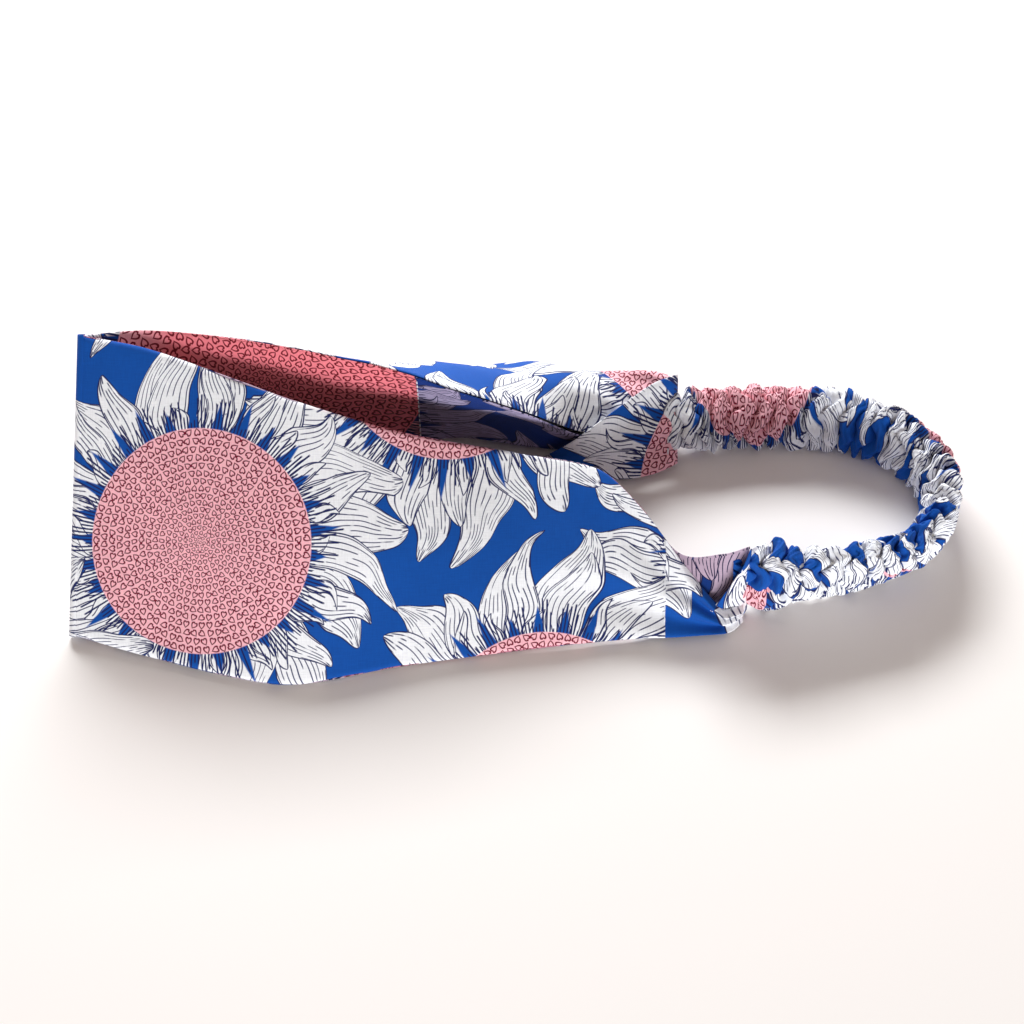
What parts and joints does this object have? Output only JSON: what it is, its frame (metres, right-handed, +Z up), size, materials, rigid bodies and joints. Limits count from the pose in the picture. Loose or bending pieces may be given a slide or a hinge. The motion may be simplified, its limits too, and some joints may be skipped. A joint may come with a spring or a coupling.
{
  "type": "fabric headband",
  "caption": "Wide printed-cotton headband folded flat, its pleated ends joined by a gathered casing over flat elastic.",
  "frame": {"origin": "under the middle of the band's bounding box, on the plane it lies on", "axes": "+X runs from the folded front of the band to the back of the elastic loop, +Y from the near strap to the far strap, +Z up"},
  "size_m": [0.2514, 0.1014, 0.0566],
  "materials": {
    "print_cotton": "matte printed cotton, blue ground with white petals and pink flower centres",
    "lining_cotton": "the same printed cotton, facing inwards",
    "elastic": "woven white elastic",
    "thread": "blue sewing thread"
  },
  "bodies": {
    "far_strap": {"front_fold": "print_cotton", "far_outer_panel": "print_cotton", "far_lining_panel": "lining_cotton", "far_lining_end_panel": "lining_cotton", "far_end_tuck": "print_cotton", "far_elastic_tab": "elastic", "far_joint_stitches": "thread", "far_piecing_stitches": "thread"},
    "far_leg": {"casing_far_leg": "print_cotton", "elastic_far_leg": "elastic"},
    "elastic_back": {"casing_back": "print_cotton", "elastic_back": "elastic"},
    "near_leg": {"casing_near_leg": "print_cotton", "elastic_near_leg": "elastic"},
    "near_strap": {"near_outer_panel": "print_cotton", "near_outer_end_panel": "print_cotton", "near_lining_panel": "lining_cotton", "near_end_tuck": "print_cotton", "near_elastic_tab": "elastic", "near_joint_stitches": "thread", "near_piecing_stitches": "thread"}
  },
  "joints": [
    {"name": "far_half_opening", "type": "hinge", "parent": "far_strap", "child": "far_leg", "pos_m": [-0.12404, -0.03456, 0.00135], "axis": [-0.049, -0.7656, -0.6414], "range_deg": [0, 12]},
    {"name": "elastic_stretch", "type": "slide", "parent": "far_leg", "child": "elastic_back", "axis": [1, 0, 0], "range_m": [0, 0.05], "stiffness_N_per_m": 60},
    {"name": "elastic_return", "type": "slide", "parent": "elastic_back", "child": "near_leg", "axis": [-1, 0, 0], "range_m": [0, 0.05]},
    {"name": "near_half_opening", "type": "hinge", "parent": "near_leg", "child": "near_strap", "pos_m": [-0.12404, -0.03456, 0.00135], "axis": [-0.049, -0.7656, -0.6414], "range_deg": [0, 12]}
  ],
  "couplings": [
    {"joint": "elastic_return", "follows": "elastic_stretch", "ratio": 1},
    {"joint": "near_half_opening", "follows": "far_half_opening", "ratio": 1}
  ]
}
